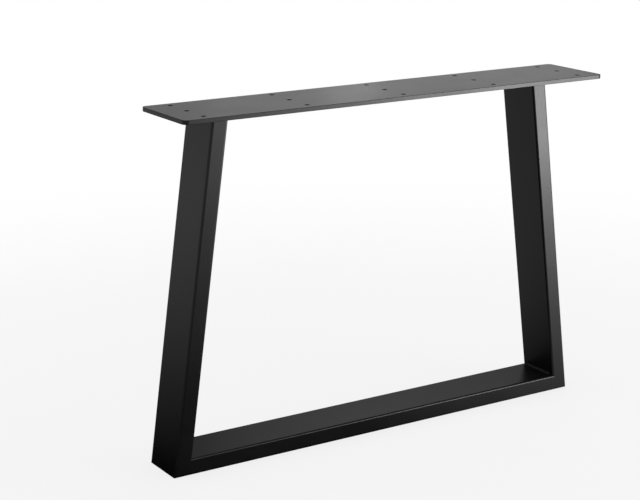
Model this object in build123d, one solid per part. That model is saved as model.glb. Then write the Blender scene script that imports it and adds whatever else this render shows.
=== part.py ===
from build123d import *
import math
import os

# Top plate: a strip of flat steel, lying along X
PLATE_LENGTH = 580.0
PLATE_WIDTH = 100.0
PLATE_THICKNESS = 5.0
PLATE_CORNER_RADIUS = 6.0
PLATE_EDGE_ROUND = 0.4

# Screw holes: rows along the plate, columns across it, evenly spread between their end margins
HOLE_DIAMETER = 6.0
HOLE_ROWS = 3
HOLE_COLUMNS = 5
HOLE_END_MARGIN = 30.0
HOLE_SIDE_MARGIN = 12.5

# Rectangular steel tube of the frame: the narrow side faces the front
TUBE_FACE = 20.0
TUBE_DEPTH = 60.0
TUBE_WALL = 1.5
TUBE_CORNER_RADIUS = 2.5
TUBE_LEAST_BORE_RADIUS = 0.3

# Frame: how far the shoulders stand in from the plate's ends, how far each foot stands out past its
# shoulder, and how far the frame stands in from the plate's rear edge
OVERALL_HEIGHT = 417.0
SHOULDER_INSET = 57.0
FOOT_SPLAY = 55.5
REAR_INSET = 0.0

# Weld beads: the length of each leg of the bead, how far its face bulges and how thin its toe is
FOOT_BEAD_LEG = 4.5
FOOT_BEAD_BULGE = 0.5
FOOT_BEAD_END_ROUND = 0.8
PLATE_BEAD_LEG = 4.0
PLATE_BEAD_BULGE = 0.5
PLATE_BEAD_TOE = 0.2

# Levels and places that follow from the sizes above
LEG_HEIGHT = OVERALL_HEIGHT - PLATE_THICKNESS
SHOULDER_X = PLATE_LENGTH / 2 - SHOULDER_INSET
FOOT_X = SHOULDER_X + FOOT_SPLAY
FRAME_Y = PLATE_WIDTH / 2 - TUBE_DEPTH / 2 - REAR_INSET
LEAN = math.atan2(FOOT_SPLAY, LEG_HEIGHT)
MITRE_ANGLE = (math.pi / 2 - LEAN) / 2

# Directions in the right-hand half of the frame: up along the leaning tube, and outward from its wide face
LEG_UP = Vector(-math.sin(LEAN), 0, math.cos(LEAN))
LEG_OUT = Vector(math.cos(LEAN), 0, math.sin(LEAN))

# Corner points of the right-hand foot: outside on the floor, and inside where rail and leg meet
FOOT_CORNER = Vector(FOOT_X, FRAME_Y, 0)
INNER_CORNER = FOOT_CORNER + Vector(-TUBE_FACE / math.tan(MITRE_ANGLE), 0, TUBE_FACE)


def hole_places():
    """Centres of the screw holes on the plate."""
    length = PLATE_LENGTH - 2 * HOLE_END_MARGIN
    width = PLATE_WIDTH - 2 * HOLE_SIDE_MARGIN
    return GridLocations(length / (HOLE_COLUMNS - 1), width / (HOLE_ROWS - 1), HOLE_COLUMNS, HOLE_ROWS)


def top_plate():
    """Flat drilled plate with rounded corners and edges broken all round."""
    outline = RectangleRounded(PLATE_LENGTH, PLATE_WIDTH, PLATE_CORNER_RADIUS)
    blank = Pos(0, 0, LEG_HEIGHT) * extrude(outline, PLATE_THICKNESS)
    rims = blank.faces().sort_by(Axis.Z)
    plate = fillet(rims[0].edges() + rims[-1].edges(), PLATE_EDGE_ROUND)
    drill = Cylinder(HOLE_DIAMETER / 2, PLATE_THICKNESS, align=(Align.CENTER, Align.CENTER, Align.MIN))
    return plate - [Pos(0, 0, LEG_HEIGHT) * place * drill for place in hole_places()]


def tube_outline(margin=0.0):
    """Rounded outline of the tube across its length, grown by a margin all round."""
    return RectangleRounded(TUBE_FACE + 2 * margin, TUBE_DEPTH + 2 * margin, TUBE_CORNER_RADIUS + margin)


def tube_section():
    """Hollow section of the tube: X is its narrow width, Y its depth."""
    bore_radius = max(TUBE_CORNER_RADIUS - TUBE_WALL, TUBE_LEAST_BORE_RADIUS)
    bore = RectangleRounded(TUBE_FACE - 2 * TUBE_WALL, TUBE_DEPTH - 2 * TUBE_WALL, bore_radius)
    return tube_outline() - bore


def mitre_plane():
    """Plane of the right-hand foot joint, halfway between rail and leg, facing the leg."""
    normal = Vector(math.sin(MITRE_ANGLE), 0, math.cos(MITRE_ANGLE))
    return Plane(origin=FOOT_CORNER, x_dir=(0, 1, 0), z_dir=normal)


def leg_stock(section):
    """Length of bar along the right-hand leg, past both of its cuts, with the given section."""
    spare = TUBE_FACE + TUBE_DEPTH
    start = FOOT_CORNER - LEG_OUT * (TUBE_FACE / 2) - LEG_UP * spare
    length = LEG_HEIGHT / math.cos(LEAN) + 2 * spare
    return extrude(Plane(origin=start, x_dir=LEG_OUT, z_dir=LEG_UP) * section, length)


def right_leg_tube():
    """Leaning tube, mitred at the foot and cut level under the plate."""
    under_plate = Plane(origin=(0, 0, LEG_HEIGHT), z_dir=(0, 0, -1))
    above_foot = split(leg_stock(tube_section()), bisect_by=mitre_plane(), keep=Keep.TOP)
    return split(above_foot, bisect_by=under_plate, keep=Keep.TOP)


def foot_rail_tube():
    """Level tube on the floor, mitred at both ends."""
    start = Plane(origin=(-FOOT_X, FRAME_Y, TUBE_FACE / 2), x_dir=(0, 0, 1), z_dir=(1, 0, 0))
    rail = extrude(start * tube_section(), 2 * FOOT_X)
    right_cut = mitre_plane()
    rail = split(rail, bisect_by=right_cut, keep=Keep.BOTTOM)
    rail = mirror(rail, about=Plane.YZ)
    return split(rail, bisect_by=right_cut, keep=Keep.BOTTOM)


def right_corner_weld():
    """Fillet bead across the inner corner of the foot, between the rounded edges of the tube."""
    on_rail = INNER_CORNER + Vector(-FOOT_BEAD_LEG, 0, 0)
    on_leg = INNER_CORNER + LEG_UP * FOOT_BEAD_LEG
    middle = (on_rail + on_leg) * 0.5
    crown = middle + (middle - INNER_CORNER).normalized() * FOOT_BEAD_BULGE
    face = make_face([Line(INNER_CORNER, on_rail), ThreePointArc(on_rail, crown, on_leg), Line(on_leg, INNER_CORNER)])
    bead = extrude(face, TUBE_DEPTH / 2 - TUBE_CORNER_RADIUS, dir=(0, 1, 0), both=True)
    ends = bead.edges().filter_by(GeomType.CIRCLE)
    return fillet(ends, FOOT_BEAD_END_ROUND)


def bead_slice(depth, reach):
    """Level outline round the right-hand leg, at a depth under the plate and a reach out from the tube."""
    centre_x = SHOULDER_X + depth * math.tan(LEAN) - TUBE_FACE / math.cos(LEAN) / 2
    return Pos(centre_x, FRAME_Y, LEG_HEIGHT - depth) * tube_outline(reach)


def right_plate_weld():
    """Fillet bead under the plate on the front and both wide sides of the tube, none past the rear edge."""
    halfway = PLATE_BEAD_LEG / 2
    slices = [
        bead_slice(0, PLATE_BEAD_LEG),
        bead_slice(halfway, halfway + PLATE_BEAD_BULGE),
        bead_slice(PLATE_BEAD_LEG, PLATE_BEAD_TOE),
    ]
    bead = loft(slices, ruled=True) - leg_stock(tube_outline())
    rear_face = Plane(origin=(0, FRAME_Y + TUBE_DEPTH / 2, 0), z_dir=(0, -1, 0))
    return split(bead, bisect_by=rear_face, keep=Keep.TOP)


def write(name, solid):
    """Save one piece under its own name."""
    solid.label = name
    export_step(solid, f"parts/{name}.step")


os.makedirs("parts", exist_ok=True)
write("top_plate", top_plate())
write("foot_rail_tube", foot_rail_tube())
PAIRS = {"leg_tube": right_leg_tube(), "corner_weld": right_corner_weld(), "plate_weld": right_plate_weld()}
for kind, right in PAIRS.items():
    write(f"right_{kind}", right)
    write(f"left_{kind}", mirror(right, about=Plane.YZ))
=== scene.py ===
import math

import bpy
from mathutils import Matrix, Vector


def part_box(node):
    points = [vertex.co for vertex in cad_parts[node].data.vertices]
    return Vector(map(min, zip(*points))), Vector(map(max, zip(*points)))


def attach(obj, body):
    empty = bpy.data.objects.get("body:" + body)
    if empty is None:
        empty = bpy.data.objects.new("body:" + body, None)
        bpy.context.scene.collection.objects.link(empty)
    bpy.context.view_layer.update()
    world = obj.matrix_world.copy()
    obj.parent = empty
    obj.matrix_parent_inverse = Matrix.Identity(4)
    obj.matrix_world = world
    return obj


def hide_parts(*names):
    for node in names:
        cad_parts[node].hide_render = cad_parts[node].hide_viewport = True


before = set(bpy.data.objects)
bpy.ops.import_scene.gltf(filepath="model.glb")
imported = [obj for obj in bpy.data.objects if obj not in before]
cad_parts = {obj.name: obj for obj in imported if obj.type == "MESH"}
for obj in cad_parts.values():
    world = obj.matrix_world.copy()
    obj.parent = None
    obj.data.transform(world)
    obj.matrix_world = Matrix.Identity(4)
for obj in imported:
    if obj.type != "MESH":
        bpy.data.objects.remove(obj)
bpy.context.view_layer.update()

MM = 0.001
WHITE = (1, 1, 1, 1)

# Width of the picture in pixels, and of the camera's sensor in millimetres
PICTURE_WIDTH = 640
SENSOR_WIDTH = 36.0

# The viewing angle of the photograph: angles in degrees, distances in metres, focal length in its pixels
CAMERA_AZIMUTH = -32.80
CAMERA_ELEVATION = 15.088
CAMERA_ROLL = 0.203
CAMERA_DISTANCE = 1.9572
CAMERA_TARGET = Vector((-0.08838, 0.0, 0.2370))
FOCAL_PIXELS = 1688.7

# Radius of the tube's rounded corners, as in the solids
TUBE_RADIUS = 2.5 * MM

# How near the plate a point of the tube counts as its top
TOP_TOLERANCE = 0.01 * MM

# The leg's other sizes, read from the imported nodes
plate_low, plate_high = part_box("top_plate")
rail_low, rail_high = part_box("foot_rail_tube")
right_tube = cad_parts["right_leg_tube"].data
TUBE_FACE = rail_high.z - rail_low.z
FRONT_Y = rail_low.y
REAR_Y = rail_high.y
FOOT_X = rail_high.x
UNDER_PLATE = plate_low.z
SHOULDER_X = max(v.co.x for v in right_tube.vertices if v.co.z > UNDER_PLATE - TOP_TOLERANCE)
LEAN = math.atan2(FOOT_X - SHOULDER_X, UNDER_PLATE)
MITRE = (math.pi / 2 - LEAN) / 2
LEG_UP = Vector((-math.sin(LEAN), 0, math.cos(LEAN)))

# Powder coat: noises with their scale per metre, and the band of a noise that colour and gloss follow
CLOUD = {"Scale": 14.0, "Detail": 4.0, "Roughness": 0.6}
GRAIN = {"Scale": 1400.0, "Detail": 2.0, "Roughness": 0.55}
PEEL = {"Scale": 420.0, "Detail": 1.0}
NOISE_LOW = 0.3
NOISE_HIGH = 0.7
COAT_DARK = (0.0024, 0.0024, 0.0026, 1)
COAT_PALE = (0.0035, 0.0035, 0.0036, 1)
COAT_SMOOTH = 0.28
COAT_ROUGH = 0.36
COAT_PATCH = 0.015
COAT_IOR = 1.36
GRAIN_IN_BUMP = 0.4
BUMP_STRENGTH = 0.12
BUMP_HEIGHT = 0.08 * MM

# Walls of the screw holes: painted shade, a dull near-black metal that darkens them as a shaded recess would
# be. They are the plate's upright faces further in from its edges than the margin
HOLE_ROUGHNESS = 0.75
HOLE_PAINTED_SHADE = (0.004, 0.004, 0.004, 1)
HOLE_ZONE_MARGIN = 2 * MM
UPRIGHT_NORMAL_Z = 0.5

# Weld beads: the length of each leg, and the runs, which start and stop at these shares of the bead's length.
# The foot bead starts a little behind the rounded front edge of the tube
FOOT_BEAD_LEG = 2.7 * MM
FOOT_BEAD_FRONT_INSET = 5.0 * MM
FOOT_BEAD_RUNS = ((0.0, 0.6), (0.59, 1.0))
PLATE_BEAD_LEG = 4.0 * MM
PLATE_BEAD_RUNS = ((0.0, 0.39), (0.37, 0.63), (0.61, 1.0))

# Form of a bead: its bulge, how deep it sinks into the steel, and the length and share of size of a run's end
BEAD_BULGE = 0.25 * MM
BEAD_SINK = 0.12 * MM
BEAD_END = 3.0 * MM
BEAD_END_SHARE = 0.2

# Uneven width of a bead: a slow and a quick waver, as shares of its size
WAVER = 0.09
WAVER_PITCH = 13 * MM
WAVER_SLOW = 0.6
WAVER_QUICK = 0.4
WAVER_QUICK_RATE = 2.7
WAVER_QUICK_START = 1.0

# Ripples across a bead, swept back in its middle and steeper on one side
RIPPLE_PITCH = 2.0 * MM
RIPPLE_HEIGHT = 0.07 * MM
RIPPLE_SWEEP = 0.8
RIPPLE_SKEW = 1.5

# Fineness of a bead's mesh, along it and across its face
BEAD_STEP = 0.22 * MM
BEAD_COLUMNS = 14

# Floor as the camera sees it: a share of it glows plain white near the leg, and all of it far off. The rest is
# paint, which takes the leg's shadow
FLOOR_SIZE = 24.0
FLOOR_PAINT = (0.85, 0.85, 0.85, 1)
FLOOR_NEAR = 0.35
FLOOR_FAR = 1.5
FLOOR_NEAR_GLOW = 0.8

# What gloss mirrors of the floor, a painted glow: dark with painted shadow beside the foot rail, paler with
# the distance from it, sooner behind the leg and on its right, and white in a painted pool of light at the
# front right
FLOOR_FAR_WHITE = 0.81
FLOOR_PALING = 1.7
FLOOR_HALF_PALE_FRONT = 2.0
FLOOR_HALF_PALE_BACK = 0.33
FLOOR_HALF_PALE_SPREAD = 1.3
FLOOR_SPREAD_X = 0.5
PAINTED_POOL_X = (0.0, 0.5)
FLOOR_FRONT_BACK = 0.05

# The even light of the room, and what gloss mirrors of it: white walls that dim towards the back (+Y) and
# upwards (+Z), and a white ceiling light. Edges and cores are the Y or Z of the direction looked in
AMBIENT = 0.6
MIRRORED_BACK = 0.15
MIRRORED_BACK_EDGE = 0.3
MIRRORED_BACK_CORE = 0.65
MIRRORED_HIGH = 0.2
MIRRORED_HIGH_EDGE = 0.35
MIRRORED_HIGH_CORE = 0.65
CEILING_EDGE = 0.82
CEILING_CORE = 0.94

# Studio softboxes: place and aim, width and height in metres, power in watts. The two large ones in front are
# low, so that the tops of the plate and the rail don't mirror them when seen from behind
LIGHTS = {
    "front_right": ((1.065, -1.065, 0.15), (0, 0, 0.20), 0.60, 0.28, 8.8),
    "front_far": ((1.05, -1.50, 0.12), (0, 0, 0.20), 0.80, 0.22, 4.0),
    "front_right_foot": ((0.48, -0.39, 0.125), (0.145, 0, 0.19), 0.19, 0.19, 0.12),
    "back_right": ((0.87, 1.16, 0.87), (0, 0, 0.29), 0.77, 0.77, 0.63),
    "back_right_near": ((0.58, 0.58, 0.68), (0.1, 0, 0.29), 0.48, 0.48, 0.27),
    "back_middle": ((0.10, 0.48, 0.60), (-0.1, 0, 0.39), 0.39, 0.39, 0.137),
    "back_left": ((-0.15, 0.45, 0.60), (-0.25, 0, 0.41), 0.39, 0.39, 0.08),
}


def make_camera():
    """Camera that sees the leg as the photograph does."""
    azimuth = math.radians(CAMERA_AZIMUTH)
    elevation = math.radians(CAMERA_ELEVATION)
    level = math.cos(elevation)
    back = Vector((math.sin(azimuth) * level, -math.cos(azimuth) * level, math.sin(elevation)))
    right = Vector((math.cos(azimuth), math.sin(azimuth), 0))
    up = back.cross(right)
    axes = Matrix((right, up, back)).transposed().to_4x4()
    roll = Matrix.Rotation(math.radians(CAMERA_ROLL), 4, "Z")
    camera = bpy.data.objects.new("camera", bpy.data.cameras.new("camera"))
    camera.data.sensor_width = SENSOR_WIDTH
    camera.data.lens = FOCAL_PIXELS / PICTURE_WIDTH * SENSOR_WIDTH
    camera.matrix_world = Matrix.Translation(CAMERA_TARGET + back * CAMERA_DISTANCE) @ axes @ roll
    bpy.context.scene.collection.objects.link(camera)
    bpy.context.scene.camera = camera


class Nodes:
    """Short way to build a node tree."""

    def __init__(self, tree):
        self.tree = tree
        tree.nodes.clear()

    def add(self, kind, inputs=None, **settings):
        """New node. An input is a value, or the output socket that it is linked to."""
        node = self.tree.nodes.new(kind)
        for name, value in settings.items():
            setattr(node, name, value)
        for key, value in (inputs or {}).items():
            if isinstance(value, bpy.types.NodeSocket):
                self.tree.links.new(value, node.inputs[key])
            else:
                node.inputs[key].default_value = value
        return node

    def math(self, operation, a, b=0.0):
        """Result of a calculation with one or two numbers."""
        return self.add("ShaderNodeMath", {0: a, 1: b}, operation=operation).outputs[0]

    def split(self, vector):
        """The X, Y and Z of a vector, as outputs by name."""
        return self.add("ShaderNodeSeparateXYZ", {0: vector}).outputs

    def noise(self, place, form):
        """Noise from 0 to 1 over the surface."""
        return self.add("ShaderNodeTexNoise", {"Vector": place, **form}).outputs["Fac"]

    def ramp(self, value, start, stop, first, last, kind="LINEAR"):
        """Value that goes from first to last while the input goes from start to stop, and no further."""
        inputs = {"Value": value, "From Min": start, "From Max": stop, "To Min": first, "To Max": last}
        return self.add("ShaderNodeMapRange", inputs, interpolation_type=kind).outputs["Result"]

    def mix(self, share, first, last):
        """Number between two others."""
        return self.add("ShaderNodeMix", {0: share, 2: first, 3: last}).outputs[0]

    def mix_colour(self, share, first, last):
        """Colour between two others."""
        return self.add("ShaderNodeMix", {0: share, 6: first, 7: last}, data_type="RGBA").outputs[2]

    def mix_shader(self, share, first, last):
        """Shader between two others."""
        return self.add("ShaderNodeMixShader", {0: share, 1: first, 2: last}).outputs[0]

    def glow(self, strength):
        """White light given off by a surface."""
        return self.add("ShaderNodeEmission", {"Color": WHITE, "Strength": strength}).outputs[0]

    def viewers(self):
        """1 for the camera's rays and 0 for others, and the same for the rays of gloss and glass."""
        path = self.add("ShaderNodeLightPath").outputs
        return path["Is Camera Ray"], self.math("MAXIMUM", path["Is Glossy Ray"], path["Is Transmission Ray"])


def new_material(name):
    """Material with an empty node tree."""
    material = bpy.data.materials.new(name)
    material.use_nodes = True
    return material, Nodes(material.node_tree)


def hole_shade_mask(n, place):
    """1 on the walls of the screw holes, where shade is painted, and 0 on the rest of the coat."""
    spot = n.split(place)
    normal = n.split(n.add("ShaderNodeNewGeometry").outputs["True Normal"])
    upright = n.math("LESS_THAN", n.math("ABSOLUTE", normal["Z"]), UPRIGHT_NORMAL_Z)
    inside_x = n.math("LESS_THAN", n.math("ABSOLUTE", spot["X"]), plate_high.x - HOLE_ZONE_MARGIN)
    inside_y = n.math("LESS_THAN", n.math("ABSOLUTE", spot["Y"]), plate_high.y - HOLE_ZONE_MARGIN)
    in_plate = n.math("GREATER_THAN", spot["Z"], plate_low.z)
    return n.math("MULTIPLY", n.math("MULTIPLY", upright, in_plate), n.math("MULTIPLY", inside_x, inside_y))


def coat_colour(n, cloud):
    """Slightly cloudy black."""
    colour = n.add("ShaderNodeValToRGB", {"Fac": cloud})
    dark, pale = colour.color_ramp.elements
    dark.position = NOISE_LOW
    dark.color = COAT_DARK
    pale.position = NOISE_HIGH
    pale.color = COAT_PALE
    return colour.outputs["Color"]


def powder_coat():
    """Black satin powder coat: a fine orange peel over steel, with slightly uneven colour and gloss, and
    painted shade on the walls of the screw holes.
    """
    material, n = new_material("black_powder_coat")
    place = n.add("ShaderNodeTexCoord").outputs["Object"]
    cloud = n.noise(place, CLOUD)
    grain = n.noise(place, GRAIN)
    peel = n.noise(place, PEEL)
    hole_shade = hole_shade_mask(n, place)
    # Painted shade: the hole walls get a near-black colour in place of the coat
    paint = n.mix_colour(hole_shade, coat_colour(n, cloud), HOLE_PAINTED_SHADE)
    speck = n.ramp(grain, NOISE_LOW, NOISE_HIGH, COAT_SMOOTH, COAT_ROUGH)
    patch = n.ramp(cloud, NOISE_LOW, NOISE_HIGH, -COAT_PATCH, COAT_PATCH)
    roughness = n.mix(hole_shade, n.math("ADD", speck, patch), HOLE_ROUGHNESS)
    height = n.math("ADD", n.math("MULTIPLY", grain, GRAIN_IN_BUMP), peel)
    bump = n.add("ShaderNodeBump", {"Height": height, "Strength": BUMP_STRENGTH, "Distance": BUMP_HEIGHT})
    inputs = {
        "Base Color": paint,
        # Painted shade: the hole walls are near-black metal, so they reflect almost nothing
        "Metallic": hole_shade,
        "Roughness": roughness,
        "Normal": bump.outputs["Normal"],
        "IOR": COAT_IOR,
    }
    shader = n.add("ShaderNodeBsdfPrincipled", inputs)
    n.add("ShaderNodeOutputMaterial", {"Surface": shader.outputs["BSDF"]})
    return material


def coat_nodes(material):
    """Gives the plate and the tubes the same coat as the beads."""
    for name in ("top_plate", "left_leg_tube", "right_leg_tube", "foot_rail_tube"):
        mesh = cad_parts[name].data
        mesh.materials.clear()
        mesh.materials.append(material)


def ripple(phase):
    """Height, from 0 to 1, of one solidified ripple of weld metal: a slow rise and a steeper fall."""
    return 0.5 - 0.5 * math.cos(2 * math.pi * (phase % 1.0) ** RIPPLE_SKEW)


def run_size(from_start, to_stop):
    """Share of the full bead size in a weld run, which is round at both ends and least outside it."""
    near_end = min(from_start, to_stop, BEAD_END)
    reach = 1 - max(0.0, near_end) / BEAD_END
    return BEAD_END_SHARE + (1 - BEAD_END_SHARE) * math.sqrt(1 - reach * reach)


def bead_size(along, length, runs):
    """Share of the full bead size at a distance along it: its runs overlap, and their width wavers."""
    share = max(run_size(along - start * length, stop * length - along) for start, stop in runs)
    turn = 2 * math.pi * along / WAVER_PITCH
    quick = math.sin(WAVER_QUICK_RATE * turn + WAVER_QUICK_START)
    return share * (1 + WAVER * (WAVER_SLOW * math.sin(turn) + WAVER_QUICK * quick) - WAVER)


def bead_ring(section, along, length, runs):
    """Points round a bead at a distance along it: one inside the steel, then its face from toe to toe."""
    root, to_first, to_second, leg = section(along)
    size = leg * bead_size(along, length, runs)
    outward = (to_first + to_second).normalized()
    points = [root - outward * BEAD_SINK]
    for j in range(BEAD_COLUMNS + 1):
        v = j / BEAD_COLUMNS
        crown = math.sin(math.pi * v)
        phase = along / RIPPLE_PITCH + RIPPLE_SWEEP * crown
        wave = RIPPLE_HEIGHT * math.sqrt(crown) * ripple(phase)
        lift = BEAD_BULGE * crown * size / leg + wave - BEAD_SINK
        points.append(root + (to_first * (1 - v) + to_second * v) * size + outward * lift)
    return points


def bead_mesh(name, section, length, runs):
    """Closed mesh of a fillet bead. Its section has a root, unit directions to its two toes and a leg."""
    rows = max(2, round(length / BEAD_STEP))
    ring = BEAD_COLUMNS + 2
    vertices = []
    for i in range(rows + 1):
        vertices.extend(bead_ring(section, length * i / rows, length, runs))
    faces = []
    for i in range(rows):
        for j in range(ring):
            k = (j + 1) % ring
            faces.append((i * ring + j, i * ring + k, (i + 1) * ring + k, (i + 1) * ring + j))
    faces.append(tuple(reversed(range(ring))))
    faces.append(tuple(rows * ring + j for j in range(ring)))
    mesh = bpy.data.meshes.new(name)
    mesh.from_pydata(vertices, [], faces)
    mesh.validate()
    return mesh


def place_bead(name, node, mesh, material, mirrored):
    """Puts a bead on the right-hand side, or mirrored on the left, in place of its plain solid."""
    if mirrored:
        mesh.transform(Matrix.Scale(-1, 4, (1, 0, 0)))
        mesh.flip_normals()
    for polygon in mesh.polygons:
        polygon.use_smooth = len(polygon.vertices) == 4
    bead = bpy.data.objects.new(name, mesh)
    bpy.context.scene.collection.objects.link(bead)
    bead.data.materials.append(material)
    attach(bead, "root")
    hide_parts(node)


def foot_bead_section(along):
    """Section of the bead in the right foot's inner corner, from front to rear."""
    front = FRONT_Y + TUBE_RADIUS + FOOT_BEAD_FRONT_INSET
    root = Vector((FOOT_X - TUBE_FACE / math.tan(MITRE), front + along, TUBE_FACE))
    return root, Vector((-1, 0, 0)), LEG_UP, FOOT_BEAD_LEG


def plate_bead_path():
    """Lengths of the stretches round the right tube's top: a wide side, a rounded corner and the front."""
    half_width = TUBE_FACE / math.cos(LEAN) / 2 - TUBE_RADIUS
    side = REAR_Y - FRONT_Y - TUBE_RADIUS
    turn = math.pi / 2 * TUBE_RADIUS
    return side, turn, 2 * half_width


def plate_bead_place(s):
    """X from the tube's middle, Y and heading at a distance from the rear end of its inner side."""
    side, turn, front = plate_bead_path()
    if s < side:
        return -(front / 2 + TUBE_RADIUS), REAR_Y - s, 0.0
    if s < side + turn:
        heading = (s - side) / TUBE_RADIUS
        x = -front / 2 - TUBE_RADIUS * math.cos(heading)
        y = FRONT_Y + TUBE_RADIUS - TUBE_RADIUS * math.sin(heading)
        return x, y, heading
    return -front / 2 + (s - side - turn), FRONT_Y, math.pi / 2


def plate_bead_length():
    """Length of the bead round three sides of the tube's top."""
    side, turn, front = plate_bead_path()
    return 2 * side + 2 * turn + front


def plate_bead_section(along):
    """Section of the bead under the plate: first the inner side, then the front, then the outer side."""
    total = plate_bead_length()
    mirror = 1 if along > total / 2 else -1
    x, y, heading = plate_bead_place(along if mirror < 0 else total - along)
    centre_x = SHOULDER_X - TUBE_FACE / math.cos(LEAN) / 2
    outward = Vector((mirror * math.cos(heading), -math.sin(heading), 0))
    root = Vector((centre_x - mirror * x, y, UNDER_PLATE))
    down = Vector((math.tan(LEAN), 0, -1)).normalized()
    return root, outward, down, PLATE_BEAD_LEG


def add_welds(material):
    """Beads in the inner corners of both feet and under the plate, round both leaning tubes."""
    foot_length = REAR_Y - FRONT_Y - 2 * TUBE_RADIUS - FOOT_BEAD_FRONT_INSET
    kinds = (
        ("corner", foot_bead_section, foot_length, FOOT_BEAD_RUNS),
        ("plate", plate_bead_section, plate_bead_length(), PLATE_BEAD_RUNS),
    )
    for side, mirrored in (("right", False), ("left", True)):
        for kind, section, length, runs in kinds:
            name = f"{side}_{kind}_bead"
            mesh = bead_mesh(name, section, length, runs)
            place_bead(name, f"{side}_{kind}_weld", mesh, material, mirrored)


def floor_share(n, distance, half_pale):
    """Share of the far white at a distance from the rail: a half where the distance is half_pale."""
    paled = n.math("POWER", distance, FLOOR_PALING)
    return n.math("DIVIDE", paled, n.math("ADD", paled, n.math("POWER", half_pale, FLOOR_PALING)))


def painted_floor_reflection(n, place):
    """Painted reflection of the floor: brightness of a glow that only gloss sees, with painted shadow beside
    the foot rail and a painted pool of light.
    """
    spot = n.split(place)
    past_end = n.math("MAXIMUM", n.math("SUBTRACT", n.math("ABSOLUTE", spot["X"]), FOOT_X), 0.0)
    beside = n.math("SUBTRACT", spot["Y"], (FRONT_Y + REAR_Y) / 2)
    squared = n.math("ADD", n.math("POWER", past_end, 2.0), n.math("MULTIPLY", beside, beside))
    behind = n.ramp(beside, -FLOOR_FRONT_BACK, FLOOR_FRONT_BACK, 0.0, 1.0)
    most = FLOOR_HALF_PALE_SPREAD
    spread = n.ramp(spot["X"], -FLOOR_SPREAD_X, FLOOR_SPREAD_X, most, -most)
    half_back = n.math("MULTIPLY", n.math("EXPONENT", spread), FLOOR_HALF_PALE_BACK)
    share = floor_share(n, n.math("SQRT", squared), n.mix(behind, FLOOR_HALF_PALE_FRONT, half_back))
    pool = n.ramp(spot["X"], *PAINTED_POOL_X, 0.0, 1.0)
    # Painted pool of light at the front right, which stops behind the rail
    painted_pool = n.math("MULTIPLY", pool, n.math("SUBTRACT", 1.0, behind))
    return n.math("MAXIMUM", n.math("MULTIPLY", share, FLOOR_FAR_WHITE), painted_pool)


def floor_material():
    """Pale floor that turns plain white away from the leg and keeps the shadow near it."""
    material, n = new_material("pale_floor")
    place = n.add("ShaderNodeNewGeometry").outputs["Position"]
    distance = n.add("ShaderNodeVectorMath", {0: place}, operation="LENGTH").outputs["Value"]
    far = n.ramp(distance, FLOOR_NEAR, FLOOR_FAR, FLOOR_NEAR_GLOW, 1.0, "SMOOTHSTEP")
    camera, glossy = n.viewers()
    paint = n.add("ShaderNodeBsdfDiffuse", {"Color": FLOOR_PAINT}).outputs[0]
    seen = n.mix_shader(camera, paint, n.mix_shader(far, paint, n.glow(1.0)))
    # Gloss sees a painted glow in place of the lit floor: painted shadow by the foot rail and a painted pool
    # of light
    whole = n.mix_shader(glossy, seen, n.glow(painted_floor_reflection(n, place)))
    n.add("ShaderNodeOutputMaterial", {"Surface": whole})
    return material


def make_floor():
    """Level floor far wider than the view."""
    half = FLOOR_SIZE / 2
    mesh = bpy.data.meshes.new("floor")
    corners = [(-half, -half, 0), (half, -half, 0), (half, half, 0), (-half, half, 0)]
    mesh.from_pydata(corners, [], [(0, 1, 2, 3)])
    floor = bpy.data.objects.new("floor", mesh)
    bpy.context.scene.collection.objects.link(floor)
    mesh.materials.append(floor_material())


def mirrored_room(n):
    """Brightness that gloss sees in a direction above the floor."""
    way = n.split(n.add("ShaderNodeTexCoord").outputs["Generated"])
    back = n.ramp(way["Y"], MIRRORED_BACK_EDGE, MIRRORED_BACK_CORE, 1.0, MIRRORED_BACK, "SMOOTHSTEP")
    high = n.ramp(way["Z"], MIRRORED_HIGH_EDGE, MIRRORED_HIGH_CORE, 1.0, MIRRORED_HIGH, "SMOOTHSTEP")
    ceiling = n.ramp(way["Z"], CEILING_EDGE, CEILING_CORE, 0.0, 1.0, "SMOOTHSTEP")
    return n.math("MAXIMUM", n.math("MULTIPLY", back, high), ceiling)


def make_world():
    """White backdrop for the camera, a soft even light, and a room for gloss to mirror."""
    world = bpy.data.worlds.new("surroundings")
    bpy.context.scene.world = world
    world.use_nodes = True
    n = Nodes(world.node_tree)
    camera, glossy = n.viewers()
    room = n.mix(glossy, AMBIENT, mirrored_room(n))
    shade = n.add("ShaderNodeBackground", {"Color": WHITE, "Strength": n.mix(camera, room, 1.0)})
    n.add("ShaderNodeOutputWorld", {"Surface": shade.outputs[0]})


def make_lights():
    """Softboxes that the camera doesn't see."""
    for name, (place, aim, width, height, power) in LIGHTS.items():
        light = bpy.data.lights.new(name, "AREA")
        light.shape = "RECTANGLE"
        light.size = width
        light.size_y = height
        light.energy = power
        lamp = bpy.data.objects.new(name, light)
        lamp.location = place
        lamp.rotation_euler = (Vector(aim) - Vector(place)).to_track_quat("-Z", "Y").to_euler()
        lamp.visible_camera = False
        bpy.context.scene.collection.objects.link(lamp)


make_camera()
coat = powder_coat()
coat_nodes(coat)
add_welds(coat)
make_floor()
make_world()
make_lights()
bpy.context.scene.view_settings.view_transform = "Standard"
